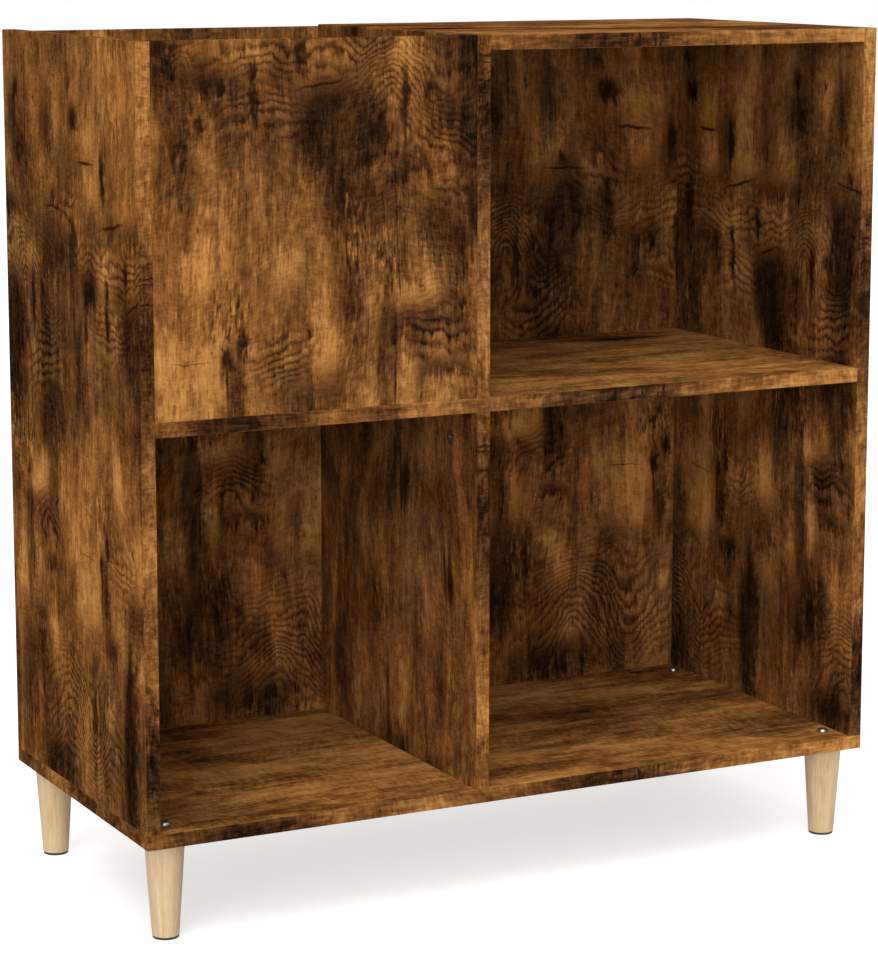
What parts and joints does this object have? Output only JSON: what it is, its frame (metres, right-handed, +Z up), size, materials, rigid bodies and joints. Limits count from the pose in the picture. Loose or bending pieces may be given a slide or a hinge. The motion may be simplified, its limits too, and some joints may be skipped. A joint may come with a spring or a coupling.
{
  "type": "record cabinet",
  "caption": "Low board-built record cabinet on tapered wooden legs, with a top-loading record bin behind a fixed front panel, a shelf and open compartments.",
  "frame": {"origin": "on the floor, under the middle of the cabinet's outline", "axes": "+Z up, +X to the right seen from the front, +Y from the front to the back"},
  "size_m": [0.845, 0.38, 0.89],
  "materials": {
    "board_decor": "foil-covered particle board in a smoked-oak plank decor, satin",
    "back_board": "thin fibreboard printed with the same decor on its inner face, bare brown behind",
    "leg_wood": "pale turned solid wood, matt clear coat",
    "dowel_wood": "plain beech",
    "foot_pad": "dark matt pad",
    "zinc_steel": "zinc-plated steel",
    "cast_zinc": "dull die-cast zinc"
  },
  "bodies": {
    "root": {"bottom_panel": "board_decor", "left_side_panel": "board_decor", "right_side_panel": "board_decor", "middle_shelf": "board_decor", "top_panel": "board_decor", "upper_partition": "board_decor", "lower_partition": "board_decor", "bin_front_panel": "board_decor", "back_panel": "back_board", "front_left_leg": "leg_wood", "front_right_leg": "leg_wood", "rear_left_leg": "leg_wood", "rear_right_leg": "leg_wood", "front_left_foot_pad": "foot_pad", "front_right_foot_pad": "foot_pad", "rear_left_foot_pad": "foot_pad", "rear_right_foot_pad": "foot_pad", "leg_bolts": "zinc_steel", "leg_insert_nuts": "zinc_steel", "cam_lock_nuts": "cast_zinc", "cam_lock_bolts": "zinc_steel", "wooden_dowels": "dowel_wood", "bottom_screws": "zinc_steel", "back_panel_nails": "zinc_steel"}
  },
  "joints": []
}
